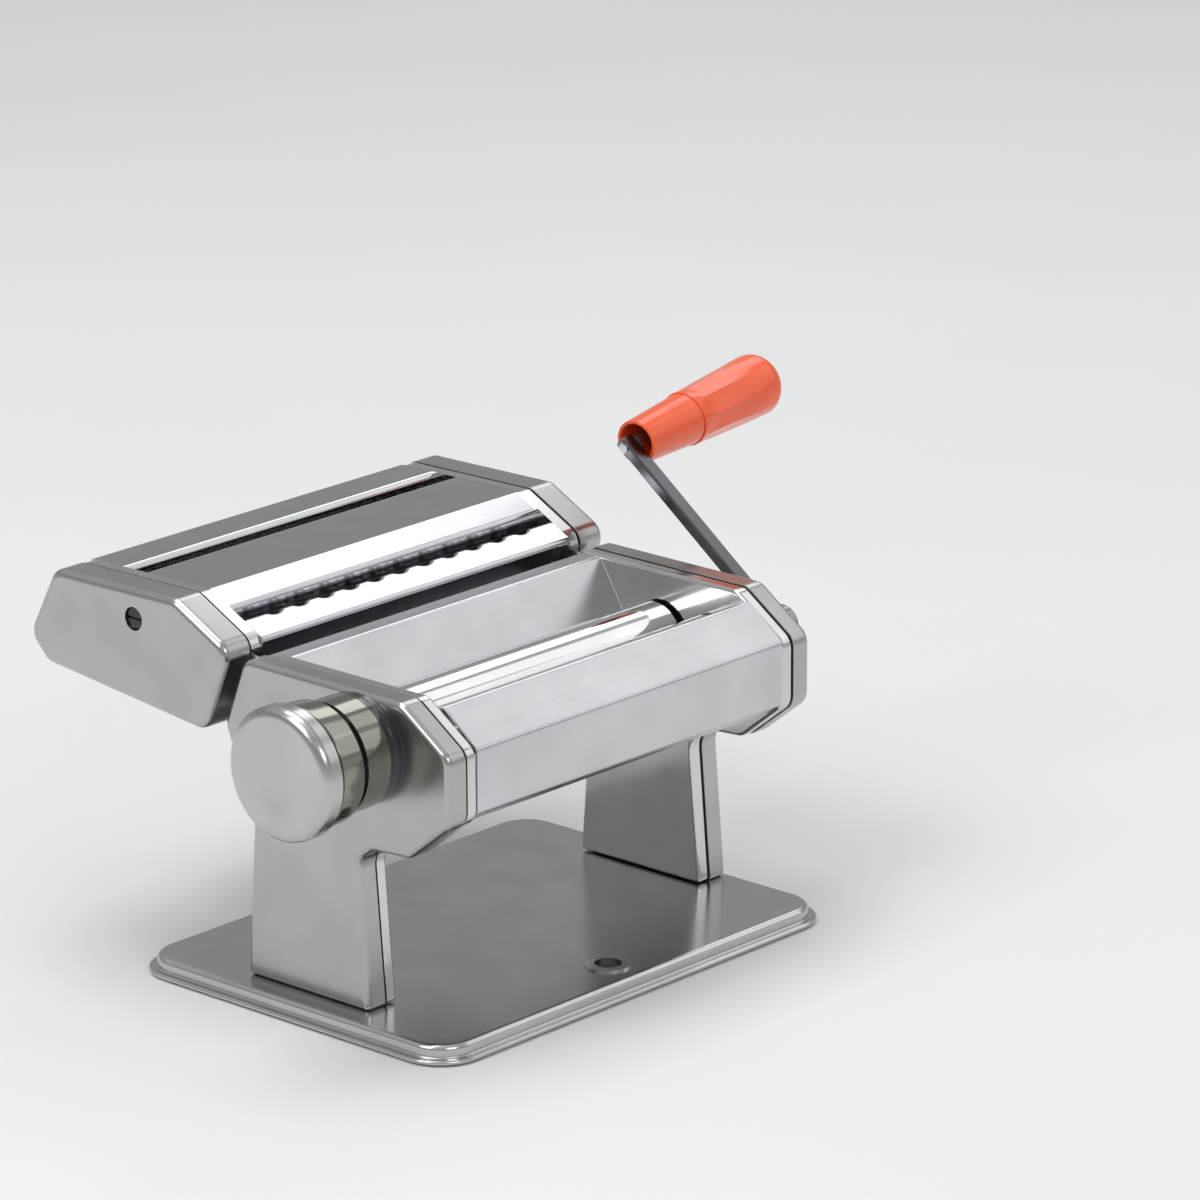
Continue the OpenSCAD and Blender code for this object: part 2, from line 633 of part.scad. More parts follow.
module narrow_cutter_rear() color("#cfd0d2")
    cutter(narrow_axes[1], narrow_r, narrow_strip, narrow_strip, 4, false);
module wide_gear_front() color("#6f7073")
    gear(wide_axes[0], 17, 1, cutter_lean, 0.1, cutter_gear_x, cutter_gear_w, journal_r);
module wide_gear_rear() color("#6f7073")
    gear(wide_axes[1], 17, 1, cutter_lean + 180 + 180 / 17, 0.1, cutter_gear_x, cutter_gear_w, 4);
module narrow_gear_front() color("#6f7073")
    gear(narrow_axes[0], 16, 1, 0, 0.1, cutter_gear_x, cutter_gear_w, journal_r);
module narrow_gear_rear() color("#6f7073")
    gear(narrow_axes[1], 16, 1, 180 + 180 / 16, 0.1, cutter_gear_x, cutter_gear_w, 4);

base_plate();
rubber_feet();
clamp_socket();
base_screws();
left_cover();
right_cover();
gap_seals();
left_inner_shell();
right_inner_shell();
left_frame_plate();
right_frame_plate();
front_panel();
rear_panel();
tie_rods();
roller_scrapers();
front_bushings();
guide_pins();
cutter_rails();
regulator_bracket();
regulator_bushing();
dial_ring();
dial_collar();
front_roller();
front_gear();
left_slide_plate();
right_slide_plate();
rear_bushings();
carriage_bar();
follower_pin();
rear_roller();
rear_gear();
regulator_shaft();
regulator_cam();
knob_core();
knob_skirt();
knob_band();
knob_cap();
knob_spring();
crank_stub();
crank_arm();
grip_pin();
grip_collar();
grip_body();
cutter_left_cover();
cutter_right_cover();
cutter_gap_seals();
cutter_inner_shells();
cutter_back_plate();
cutter_centre_plate();
cutter_front_plate();
cutter_combs();
cutter_tie_bolts();
wide_cutter_front();
wide_cutter_rear();
wide_gear_front();
wide_gear_rear();
narrow_cutter_front();
narrow_cutter_rear();
narrow_gear_front();
narrow_gear_rear();
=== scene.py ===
"""Looks of a hand-cranked pasta roller machine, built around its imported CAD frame."""
import json
import math

import bmesh
import bpy
from mathutils import Matrix, Vector, geometry


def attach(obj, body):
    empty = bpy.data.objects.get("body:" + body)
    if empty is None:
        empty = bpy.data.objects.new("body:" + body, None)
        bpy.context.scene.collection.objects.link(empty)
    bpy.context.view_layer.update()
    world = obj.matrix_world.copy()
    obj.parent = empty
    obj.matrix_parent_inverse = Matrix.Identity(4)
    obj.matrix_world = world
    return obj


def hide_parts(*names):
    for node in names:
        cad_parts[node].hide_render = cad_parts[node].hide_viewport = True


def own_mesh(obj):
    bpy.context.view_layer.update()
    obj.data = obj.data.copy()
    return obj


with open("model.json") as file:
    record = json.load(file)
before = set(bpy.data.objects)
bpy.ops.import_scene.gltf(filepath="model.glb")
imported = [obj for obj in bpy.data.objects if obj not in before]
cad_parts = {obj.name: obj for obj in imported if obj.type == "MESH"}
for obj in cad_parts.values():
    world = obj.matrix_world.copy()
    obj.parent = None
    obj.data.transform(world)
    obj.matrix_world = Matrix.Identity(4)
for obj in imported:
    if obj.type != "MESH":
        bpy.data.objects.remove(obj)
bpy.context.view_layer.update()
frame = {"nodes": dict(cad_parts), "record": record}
NODES = frame["nodes"]
MM = 0.001

# ---------------------------------------------------------------- camera
CAMERA_AZ, CAMERA_EL, CAMERA_ROLL = -46.918, 18.548, -0.513
CAMERA_TARGET = Vector((0, 0, 0.080))
CAMERA_DISTANCE = 2.4417
CAMERA_LENS = 202.48
AIM_RIGHT, AIM_UP = 0.016131, 0.019873     # tangents from the target to the picture's middle


def make_camera():
    a, e, r = (math.radians(v) for v in (CAMERA_AZ, CAMERA_EL, CAMERA_ROLL))
    back = Vector((math.sin(a) * math.cos(e), -math.cos(a) * math.cos(e), math.sin(e)))
    level = Vector((math.cos(a), math.sin(a), 0))
    upright = back.cross(level)
    right = math.cos(r) * level + math.sin(r) * upright
    up = -math.sin(r) * level + math.cos(r) * upright
    z = (back - AIM_RIGHT * right - AIM_UP * up).normalized()
    x = (right - right.dot(z) * z).normalized()
    y = z.cross(x)
    data = bpy.data.cameras.new("camera")
    data.lens, data.sensor_width = CAMERA_LENS, 36
    data.clip_start, data.clip_end = 0.05, 100
    cam = bpy.data.objects.new("camera", data)
    bpy.context.scene.collection.objects.link(cam)
    place = Matrix.Translation(CAMERA_TARGET + back * CAMERA_DISTANCE)
    cam.matrix_world = place @ Matrix((x, y, z)).transposed().to_4x4()
    bpy.context.scene.camera = cam


make_camera()

# ---------------------------------------------------------------- materials
class Surface:
    """A material's node tree with a short way to add and join nodes."""

    def __init__(self, name):
        self.material = bpy.data.materials.new(name)
        self.material.use_nodes = True
        self.tree = self.material.node_tree
        self.shader = self.tree.nodes["Principled BSDF"]
        self.place = self.add("ShaderNodeTexCoord").outputs["Object"]

    def add(self, kind, **inputs):
        node = self.tree.nodes.new(kind)
        for key, value in inputs.items():
            node.inputs[key.replace("_", " ")].default_value = value
        return node

    def join(self, a, b):
        self.tree.links.new(a, b)

    def noise(self, scale, stretch=(1, 1, 1), detail=3.0, rough=0.55):
        mapping = self.add("ShaderNodeMapping", Scale=stretch)
        self.join(self.place, mapping.inputs["Vector"])
        noise = self.add("ShaderNodeTexNoise", Scale=scale, Detail=detail, Roughness=rough)
        self.join(mapping.outputs["Vector"], noise.inputs["Vector"])
        return noise.outputs["Fac"]

    def ranged(self, value, low, high, start=0.3, end=0.7):
        node = self.add("ShaderNodeMapRange")
        for key, number in (("From Min", start), ("From Max", end), ("To Min", low), ("To Max", high)):
            node.inputs[key].default_value = number
        self.join(value, node.inputs["Value"])
        return node.outputs["Result"]

    def tint(self, value, dark, light):
        ramp = self.tree.nodes.new("ShaderNodeValToRGB")
        ramp.color_ramp.elements[0].position, ramp.color_ramp.elements[1].position = 0.3, 0.7
        ramp.color_ramp.elements[0].color = (*dark, 1)
        ramp.color_ramp.elements[1].color = (*light, 1)
        self.join(value, ramp.inputs["Fac"])
        self.join(ramp.outputs["Color"], self.shader.inputs["Base Color"])

    def bump(self, value, strength, distance):
        node = self.add("ShaderNodeBump", Strength=strength, Distance=distance)
        self.join(value, node.inputs["Height"])
        self.join(node.outputs["Normal"], self.shader.inputs["Normal"])

    def rough(self, value, low, high):
        self.join(self.ranged(value, low, high), self.shader.inputs["Roughness"])


def shade(colour, k):
    return tuple(c * k for c in colour)


def metal(name, colour, rough, spread, grain, bump=0.0, blotch=0.05):
    """Metal with directional grain, roughness that follows it, and slow changes of tone."""
    n = Surface(name)
    n.shader.inputs["Metallic"].default_value = 1.0
    lines = n.noise(1.0, grain, 4.0, 0.6)
    n.rough(lines, rough - spread, rough + spread)
    n.tint(n.noise(38.0, (1, 1, 1), 2.0), shade(colour, 1 - blotch), shade(colour, 1 + blotch))
    if bump:
        n.bump(lines, bump, 0.00004)
    return n.material


def plastic(name, colour, rough, spread, coat=0.0, bump=0.04, grain=2600.0, blotch=0.04):
    n = Surface(name)
    n.shader.inputs["Coat Weight"].default_value = coat
    n.shader.inputs["Coat Roughness"].default_value = 0.08
    fine = n.noise(grain, (1, 1, 1), 2.0)
    n.rough(n.noise(90.0, (1, 1, 1), 3.0), rough - spread, rough + spread)
    n.tint(n.noise(60.0, (1, 1, 1), 2.0), shade(colour, 1 - blotch), shade(colour, 1 + blotch))
    n.bump(fine, bump, 0.00005)
    return n.material


ALONG_X = (18, 900, 900)
M = {
    "cover_steel": metal("satin_cover_steel", (0.475, 0.468, 0.458), 0.26, 0.015, (260, 20, 700), bump=0.006),
    "bright_steel": metal("polished_shell_steel", (0.66, 0.66, 0.655), 0.14, 0.02, (60, 60, 60)),
    "panel_steel": metal("satin_panel_steel", (0.60, 0.61, 0.63), 0.26, 0.015, ALONG_X, bump=0.006),
    "polished_panel": metal("polished_panel_steel", (0.56, 0.57, 0.59), 0.13, 0.015, ALONG_X, bump=0.004),
    "base_steel": metal("base_tray_steel", (0.58, 0.57, 0.555), 0.20, 0.02, (28, 700, 700), bump=0.008),
    "roller_steel": metal("ground_roller_steel", (0.74, 0.74, 0.75), 0.08, 0.03, (1400, 40, 40), bump=0.01),
    "frame_steel": metal("plain_frame_steel", (0.42, 0.43, 0.44), 0.32, 0.05, (300, 300, 300), bump=0.02),
    "gear_steel": metal("sintered_gear_steel", (0.28, 0.28, 0.29), 0.42, 0.08, (900, 900, 900), bump=0.15),
    "bearing_bronze": metal("bearing_bronze", (0.62, 0.43, 0.20), 0.30, 0.06, (1200, 60, 60), bump=0.02),
    # The knob metal's dark yellowish colour is a painted reflection: it stands in for the dark, yellowish
    # surroundings that the bright turned metal reflects.
    "knob_metal": metal("knob_metal_painted_reflection", (0.29, 0.28, 0.245), 0.12, 0.02, (1500, 40, 40), bump=0.006),
    "cap_metal": metal("satin_cap_metal", (0.52, 0.515, 0.50), 0.23, 0.012, (90, 90, 90)),
    "black_rubber": plastic("black_rubber", (0.012, 0.012, 0.013), 0.62, 0.06, 0.0, 0.08),
    "black_plastic": plastic("black_gloss_plastic", (0.010, 0.010, 0.011), 0.16, 0.05, 0.5),
    "dial_dark": plastic("dark_dial_plastic", (0.022, 0.022, 0.024), 0.16, 0.04, 0.5),
    "crank_steel": metal("dark_crank_steel", (0.15, 0.15, 0.16), 0.22, 0.03, (200, 200, 12), bump=0.01),
    "orange_plastic": plastic("orange_plastic", (0.90, 0.105, 0.022), 0.27, 0.04, 0.35, 0.02),
    "cast_hub": metal("crank_hub_steel", (0.34, 0.34, 0.35), 0.24, 0.05, (1200, 60, 60), bump=0.02),
    # Near-black screw steel is painted shade: it stands in for the shade inside the recess the cutter cover's
    # screw sits in.
    "screw_steel": metal("screw_steel_painted_recess_shade", (0.07, 0.07, 0.072), 0.28, 0.04, (500, 500, 500), bump=0.02),
}
SLOT_OF = {r["node"]: r["material_slot"] for r in frame["record"]["subparts"]}
# The cutter's tie bolts and the base screws get the near-black steel, whose dark colour is painted recess
# shade.
SCREWS_IN_PAINTED_SHADE = ("cutter_tie_bolts", "base_screws")
for node, obj in NODES.items():
    obj.data.materials.clear()
    obj.data.materials.append(M["screw_steel" if node in SCREWS_IN_PAINTED_SHADE else SLOT_OF[node]])

# ---------------------------------------------------------------- plane geometry, in millimetres
def arc_at(p, q, s, r, steps):
    u, v = (p - q).normalized(), (s - q).normalized()
    half = math.acos(max(-1.0, min(1.0, u.dot(v)))) / 2
    if half > math.pi / 2 - 1e-4 or r <= 0:
        return [q] * (steps + 1)
    centre = q + (u + v).normalized() * r / math.sin(half)
    start, end = q + u * r / math.tan(half) - centre, q + v * r / math.tan(half) - centre
    a, b = math.atan2(start.y, start.x), math.atan2(end.y, end.x)
    turn = (b - a + 3 * math.pi) % (2 * math.pi) - math.pi
    return [centre + r * Vector((math.cos(a + turn * k / steps), math.sin(a + turn * k / steps)))
            for k in range(steps + 1)]


def left(v):
    return Vector((-v.y, v.x))


def miter(a, b):
    return (left(a) + left(b)) / (1 + left(a).dot(left(b)))


def outline(path, inset=0.0, steps=8):
    """A closed path of (y, z, radius) corners, moved inwards and rounded, as 2-D points."""
    n, corners = len(path), []
    for i in range(n):
        p, q, s = (Vector(path[(i + k) % n][:2]) for k in (-1, 0, 1))
        a, b = (q - p).normalized(), (s - q).normalized()
        convex = left(a).dot(b) > 0
        corners.append((q + inset * miter(a, b), max(path[i][2] + (-inset if convex else inset), 0.25)))
    points = []
    for i in range(n):
        points += arc_at(corners[i - 1][0], corners[i][0], corners[(i + 1) % n][0], corners[i][1], steps)
    return points


def shrunk(points, inset):
    """A closed outline moved inwards point by point."""
    n, out = len(points), []
    for i in range(n):
        a, b = (points[i] - points[i - 1]).normalized(), (points[(i + 1) % n] - points[i]).normalized()
        out.append(points[i] + inset * miter(a, b))
    return out


def rounded(corners, steps=5):
    """A closed outline of (u, v, radius) corners with each corner rounded by its own radius."""
    n, points = len(corners), []
    for i in range(n):
        p, q, s = (Vector(corners[(i + k) % n][:2]) for k in (-1, 0, 1))
        r = corners[i][2] if len(corners[i]) > 2 else 0
        points += arc_at(p, q, s, r, steps) if r else [q]
    return points


def circle(centre, r, count=48):
    return [Vector(centre) + r * Vector((math.cos(a), math.sin(a)))
            for a in (2 * math.pi * k / count for k in range(count))]


def stadium(centre, travel, r, count=24):
    c = Vector(centre)
    right = [c + Vector((travel, 0)) + r * Vector((math.cos(a), math.sin(a)))
             for a in (-math.pi / 2 + math.pi * k / count for k in range(count + 1))]
    return right + [c + r * Vector((math.cos(a), math.sin(a)))
                    for a in (math.pi / 2 + math.pi * k / count for k in range(count + 1))]


# ---------------------------------------------------------------- solids
class Solid:
    """Vertices and faces of one piece, in millimetres."""

    def __init__(self):
        self.v, self.f = [], []

    def ring(self, points):
        start = len(self.v)
        self.v += [tuple(p) for p in points]
        return list(range(start, len(self.v)))

    def section(self, x, points):
        return self.ring([(x, p.x, p.y) for p in points])

    def loft(self, a, b):
        n = len(a)
        self.f += [(a[k], a[(k + 1) % n], b[(k + 1) % n], b[k]) for k in range(n)]

    def skin(self, rings):
        for a, b in zip(rings, rings[1:]):
            self.loft(a, b)

    def cap(self, rings, u=1, w=2):
        """Fills the area between an outer ring and any holes."""
        points, ids, edges = [], [], []
        for ring in rings:
            s = len(points)
            points += [Vector((self.v[i][u], self.v[i][w])) for i in ring]
            ids += ring
            edges += [(s + k, s + (k + 1) % len(ring)) for k in range(len(ring))]
        found, _, faces, origin, _, _ = geometry.delaunay_2d_cdt(points, edges, [], 0, 1e-5)
        for face in faces:
            c = sum((found[i] for i in face), Vector((0, 0))) / len(face)
            crossings = 0
            for i, j in edges:
                p, q = points[i], points[j]
                if (p.y > c.y) != (q.y > c.y) and c.x < (q.x - p.x) * (c.y - p.y) / (q.y - p.y) + p.x:
                    crossings += 1
            if crossings % 2:
                self.f.append(tuple(ids[origin[i][0]] for i in face))


def build(name, solid, material, body, replaces=(), smooth=35, matrix=None):
    """Turns a solid into an object that rides on a body and stands for CAD nodes."""
    mesh = bpy.data.meshes.new(name)
    mesh.from_pydata([tuple(c * MM for c in p) for p in solid.v], [], solid.f)
    if matrix is not None:
        mesh.transform(matrix)
    bm = bmesh.new()
    bm.from_mesh(mesh)
    bmesh.ops.remove_doubles(bm, verts=bm.verts, dist=2e-7)
    bmesh.ops.dissolve_degenerate(bm, edges=bm.edges, dist=1e-7)
    bmesh.ops.recalc_face_normals(bm, faces=bm.faces)
    bm.to_mesh(mesh)
    bm.free()
    mesh.polygons.foreach_set("use_smooth", [True] * len(mesh.polygons))
    mesh.set_sharp_from_angle(angle=math.radians(smooth))
    obj = bpy.data.objects.new(name, mesh)
    bpy.context.scene.collection.objects.link(obj)
    mesh.materials.append(M[material])
    weighted = obj.modifiers.new("weighted", "WEIGHTED_NORMAL")
    weighted.keep_sharp = True
    weighted.weight = 100
    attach(obj, body)
    if replaces:
        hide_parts(*replaces)
    return obj


def pressed(solid, path, seam, face, edge, t, side, holes=(), hole_lip=0.25):
    """A pressed sheet cup: open at the seam, closed by a face with a rounded edge and holes."""
    d = 1 if face > seam else -1
    lip, steps = 0.35, 8
    inner_r = max(edge - t, 0.3)
    angles = [math.pi / 2 * k / steps for k in range(steps + 1)]
    outer = [(seam, lip), (seam + d * 0.1, 0.1), (seam + d * lip, 0)]
    outer += [(face - d * edge * (1 - math.sin(a)), edge * (1 - math.cos(a))) for a in angles]
    inner_x = face - d * t
    inner = [(inner_x - d * inner_r * (1 - math.sin(a)), t + inner_r * (1 - math.cos(a))) for a in angles]
    inner = [(seam, t - lip), (seam + d * 0.1, t - 0.1), (seam + d * lip, t)] + inner
    rings_out = [solid.section(side * x, outline(path, i)) for x, i in outer]
    rings_in = [solid.section(side * x, outline(path, i)) for x, i in inner]
    solid.skin(rings_out)
    solid.skin(rings_in)
    solid.loft(rings_out[0], rings_in[0])
    mouths, backs = [], []
    for cut in holes:
        rings = [solid.section(side * (face - d * x), cut(g))
                 for x, g in ((0, hole_lip), (hole_lip * 0.3, hole_lip * 0.3), (hole_lip, 0), (t, 0))]
        solid.skin(rings)
        mouths.append(rings[0])
        backs.append(rings[-1])
    solid.cap([rings_out[-1]] + mouths)
    solid.cap([rings_in[-1]] + backs)


def folded_section(path, r, t, steps=10):
    """The outline of a sheet folded along an open path of (y, z) points, with rounded edges."""
    corners = [Vector(p) for p in path]
    line = [corners[0]]
    for i in range(1, len(corners) - 1):
        line += arc_at(corners[i - 1], corners[i], corners[i + 1], r, steps)
    line.append(corners[-1])
    n, beside = len(line), []
    for i in range(n):
        a = (line[max(i, 1)] - line[max(i, 1) - 1]).normalized()
        b = (line[min(i, n - 2) + 1] - line[min(i, n - 2)]).normalized()
        beside.append(line[i] + t * miter(a, b))
    loop = line + beside[::-1]
    ends = {0, n - 1, n, 2 * n - 1}
    points = []
    for i, q in enumerate(loop):
        points += arc_at(loop[i - 1], q, loop[(i + 1) % (2 * n)], abs(t) * 0.42, 4) if i in ends else [q]
    area = sum(p.x * q.y - q.x * p.y for p, q in zip(points, points[1:] + points[:1]))
    return points[::-1] if area < 0 else points


def folded(solid, path_at, r, t, x0, x1, stations=()):
    """A folded sheet from x0 to x1. path_at(x) gives its path, and stations are sections in between."""
    tip = 0.22
    spots = [(x0, tip), (x0 + tip * 0.3, tip * 0.3), (x0 + tip, 0)] + [(x, 0) for x in stations]
    spots += [(x1 - tip, 0), (x1 - tip * 0.3, tip * 0.3), (x1, tip)]
    rings = [solid.section(x, shrunk(folded_section(path_at(x), r, t), i)) for x, i in spots]
    solid.skin(rings)
    solid.cap([rings[0]])
    solid.cap([rings[-1]])


def basis(axis):
    z = Vector(axis).normalized()
    x = z.orthogonal().normalized()
    return Matrix((x, z.cross(x), z)).transposed()


def turned(solid, profile, origin, axis, segments=128, radius=None):
    """A profile of (radius, distance, corner radius) points turned about an axis."""
    frame3 = basis(axis)
    rings = []
    for p in rounded(profile):
        ring = []
        for k in range(segments):
            a = 2 * math.pi * k / segments
            r = p.x if radius is None else radius(p.x, p.y, a)
            ring.append(Vector(origin) + frame3 @ Vector((r * math.cos(a), r * math.sin(a), p.y)))
        rings.append(solid.ring(ring))
    solid.skin(rings + rings[:1])


def hole(centre, r):
    return lambda g: circle(centre, r + g)


def slot_hole(centre, travel, r):
    return lambda g: stadium(centre, travel, r + g)


# ---------------------------------------------------------------- the frame's sizes, in millimetres
FACE, SEAM, SEAL, SHELL = 96.0, 87.0, 86.0, 81.0
CUTTER_FACE = 100.0
SHEET = 1.0
HEAD = [(-29.5, 7, 2), (30.5, 7, 2), (26.5, 67, 14), (40, 99, 6), (30, 125.5, 6),
        (-47, 125.5, 7), (-69.5, 110, 7), (-69.5, 85, 7), (-49.5, 69, 7), (-24.5, 67.5, 9)]
CUTTER = [(46, 95.5, 6), (127, 104.5, 7), (136, 114, 7), (122, 141, 7), (60, 142, 7), (33, 128, 7)]
FRONT_AXIS, REAR_AXIS, KNOB_AXIS = (-35.3, 100.5), (-9.0, 100.5), (-26.7, 105.0)
RODS = [(-37, 75), (-7, 75), (26, 110), (-60, 97)]
CARRIAGE_ROD = (4, 83)
LEAN = math.radians(21.46)
WIDE_AXES = [(58.9 + 8.5 * s * math.cos(LEAN), 117 + 8.5 * s * math.sin(LEAN)) for s in (-1, 1)]
NARROW_AXES = [(90.9, 120), (106.9, 120)]
COVER_BOLT = (80.7, 130.6)
MAIN_EDGE, CUTTER_EDGE, SHELL_EDGE = 2.4, 3.0, 1.4      # radii of the pressed edges
SHELL_INSET = 0.4
GAP_TRAVEL = 2.7
KNOB_HOLE_R, CRANK_HOLE_R, SCREW_HOLE_R, DRIVE_HOLE_R = 12, 9, 4.3, 7      # in the side covers
FRONT_BEARING_R, REAR_SLOT_R, CARRIAGE_SLOT_R, ROD_R = 8, 6, 3.5, 3        # in the inner shells


def inset_path(path, t):
    """The same corners moved inwards, with their radii kept in step."""
    n, out = len(path), []
    for i in range(n):
        p, q, s = (Vector(path[(i + k) % n][:2]) for k in (-1, 0, 1))
        a, b = (q - p).normalized(), (s - q).normalized()
        m = q + t * miter(a, b)
        r = path[i][2] + (-t if left(a).dot(b) > 0 else t)
        out.append((m.x, m.y, max(r, 0.4)))
    return out


# Side covers
for side, name, cut in ((-1, "left_cover", hole(KNOB_AXIS, KNOB_HOLE_R)),
                        (1, "right_cover", hole(FRONT_AXIS, CRANK_HOLE_R))):
    s = Solid()
    pressed(s, HEAD, SEAM, FACE, MAIN_EDGE, SHEET, side, [cut])
    build(name + "_pressed", s, "cover_steel", "machine", [name])

SCREW_HOLE = [hole(COVER_BOLT, SCREW_HOLE_R)]
DRIVE_HOLES = [hole(WIDE_AXES[0], DRIVE_HOLE_R), hole(NARROW_AXES[0], DRIVE_HOLE_R)]
for side, name, cuts in ((-1, "cutter_left_cover", SCREW_HOLE),
                         (1, "cutter_right_cover", SCREW_HOLE + DRIVE_HOLES)):
    s = Solid()
    pressed(s, CUTTER, SEAM, CUTTER_FACE, CUTTER_EDGE, SHEET, side, cuts)
    build(name + "_pressed", s, "cover_steel", "cutter_head", [name])

# Inner shells
MAIN_HOLES = [hole(FRONT_AXIS, FRONT_BEARING_R), slot_hole(REAR_AXIS, GAP_TRAVEL, REAR_SLOT_R),
              slot_hole(CARRIAGE_ROD, GAP_TRAVEL, CARRIAGE_SLOT_R)]
MAIN_HOLES += [hole(rod, ROD_R) for rod in RODS]
for side, name in ((-1, "left_inner_shell"), (1, "right_inner_shell")):
    s = Solid()
    path = inset_path(HEAD, SHELL_INSET)
    pressed(s, path, SEAL, SHELL, SHELL_EDGE, SHEET, side, MAIN_HOLES, hole_lip=0.15)
    build(name + "_pressed", s, "bright_steel", "machine", [name])

# The knob's return spring, a copy of its CAD mesh, rides on the knob
spring = bpy.data.objects.new("knob_spring_coil", NODES["knob_spring"].data.copy())
bpy.context.scene.collection.objects.link(spring)
spring.matrix_world = NODES["knob_spring"].matrix_world.copy()
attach(spring, "knob")
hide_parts("knob_spring")
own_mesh(spring)

# Folded panels
FOLD_R = 2.5
PANELS = {
    "front_panel": ([(-47.5, 111.5), (-51.5, 123.8), (-69.2, 110), (-69.2, 86.5), (-63, 82)],
                    SHEET, "panel_steel", "machine"),
    "rear_panel": ([(8.5, 106), (20, 124.6), (29, 124.6), (38.8, 99.2), (26, 71)],
                   -SHEET, "panel_steel", "machine"),
    "cutter_back_plate": ([(103.5, 133.5), (103.5, 140.9), (121.6, 140.6), (135.4, 114.1), (126.8, 105),
                           (117, 103.9)], -SHEET, "polished_panel", "cutter_head"),
    "cutter_centre_plate": ([(94.5, 133.5), (94.5, 141), (61, 141.5), (50.8, 136.2), (50.8, 129.8)],
                            SHEET, "polished_panel", "cutter_head"),
}
for name, (path, t, material, body) in PANELS.items():
    s = Solid()
    folded(s, lambda x: path, FOLD_R, t, -SHELL, SHELL)
    build(name + "_folded", s, material, body, [name])

# The cutter head's front plate has a scalloped slot edge, one scallop to each pair of wide strips
SLOT_Y, SLOT_BOTTOM, SLOT_TOP = 46.2, 128.4, 134
FRONT_FOLD = (34, 128.2)
PITCH, SCALLOP_R, SCALLOP_DEPTH, SCALLOPS = 13.0, 7.0, 1.4, 5
SCALLOPED_HALF, STATIONS = 79, 240


def scalloped(x):
    from_middle = x - PITCH * max(-SCALLOPS, min(SCALLOPS, round(x / PITCH)))
    notch = math.sqrt(max(SCALLOP_R ** 2 - from_middle ** 2, 0)) - SCALLOP_R + SCALLOP_DEPTH
    y = SLOT_Y - max(notch, 0)
    slope = (SLOT_TOP - FRONT_FOLD[1]) / (SLOT_Y - FRONT_FOLD[0])
    crest = FRONT_FOLD[1] + (y - FRONT_FOLD[0]) * slope
    return [(y, SLOT_BOTTOM), (y, crest), FRONT_FOLD, (46.3, 96), (56, 97.1)]


s = Solid()
folded(s, scalloped, 2.0, SHEET, -SHELL, SHELL,
       [-SCALLOPED_HALF + k * 2 * SCALLOPED_HALF / STATIONS for k in range(STATIONS + 1)])
build("cutter_front_plate_folded", s, "polished_panel", "cutter_head", ["cutter_front_plate"])

# Base tray: wall with a rounded top edge, a rolled lip, and the hollow underneath
BASE_X0, BASE_X1, BASE_Y, BASE_R, LIP = -106.0, 98.5, 75.0, 14.0, 3.0
BASE_TOP, BASE_FLOOR, TRAY_SHEET, TRAY_CORNER = 7.0, 0.6, 1.2, 2.0


def base_path(grow):
    r = BASE_R
    return [(BASE_X0 - grow, -BASE_Y - grow, r + grow), (BASE_X1 + grow, -BASE_Y - grow, r + grow),
            (BASE_X1 + grow, BASE_Y + grow, r + grow), (BASE_X0 - grow, BASE_Y + grow, r + grow)]


def flat_ring(solid, z, points):
    return solid.ring([(p.x, p.y, z) for p in points])


LIP_R, BEAD_R, BEAD_Z, BASE_EDGE = 0.9, 0.5, 2.9, 2.2
s = Solid()
profile = [(LIP - LIP_R + LIP_R * math.sin(a), BASE_FLOOR + LIP_R - LIP_R * math.cos(a))
           for a in (math.pi * k / 8 for k in range(9))]
profile += [(0.55 - BEAD_R * math.sin(a), BEAD_Z - BEAD_R * math.cos(a))
            for a in (math.pi / 2 * k / 4 for k in range(5))]
profile += [(-BASE_EDGE + BASE_EDGE * math.cos(a), BASE_TOP - BASE_EDGE + BASE_EDGE * math.sin(a))
            for a in (math.pi / 2 * k / 8 for k in range(9))]
under_z = BASE_TOP - TRAY_SHEET
under = [(LIP - LIP_R, BASE_FLOOR), (-TRAY_SHEET, BASE_FLOOR), (-TRAY_SHEET, under_z - TRAY_CORNER),
         (-TRAY_SHEET - TRAY_CORNER, under_z)]
rings = [flat_ring(s, z, outline(base_path(g), 0.0, 12)) for g, z in profile]
rings_under = [flat_ring(s, z, outline(base_path(g), 0.0, 12)) for g, z in under]
s.skin(rings)
s.skin(rings_under)
s.loft(rings[0], rings_under[0])
SCREWS, SCREW_R = [(x, y) for x in (-90, 90) for y in (-12, 12)], 2.0
CLAMP, CLAMP_WALL_R = (-3.75, -60), 8.5
tops, unders = [], []
for c, r in [(p, SCREW_R) for p in SCREWS] + [(CLAMP, CLAMP_WALL_R)]:
    walls = [flat_ring(s, z, circle(c, r + g))
             for z, g in ((BASE_TOP, 0.2), (BASE_TOP - 0.2, 0), (under_z, 0))]
    s.skin(walls)
    tops.append(walls[0])
    unders.append(walls[-1])
s.cap([rings[-1]] + tops, 0, 1)
s.cap([rings_under[-1]] + unders, 0, 1)
build("base_plate_pressed", s, "base_steel", "machine", ["base_plate"])

# Knob: everything is turned about the regulator's axis, with distances outwards along -X
KNOB_ORIGIN = (0, KNOB_AXIS[0], KNOB_AXIS[1])
OUT = (-1, 0, 0)
RING_X, COLLAR_X, SKIRT_X, BAND_X, CAP_X, CAP_END = 96.0, 101.5, 116.0, 127.0, 128.6, 137.0
RING_R, SLEEVE_R, BAND_R, CAP_R = 20.5, 19.4, 23.5, 24.4
CAP_RIM, DISH_R, DISH_DEPTH = 4.0, 17.0, 1.8


def knob_piece(name, profile, material, body, nodes):
    s = Solid()
    turned(s, profile, KNOB_ORIGIN, OUT)
    return build(name, s, material, body, nodes)


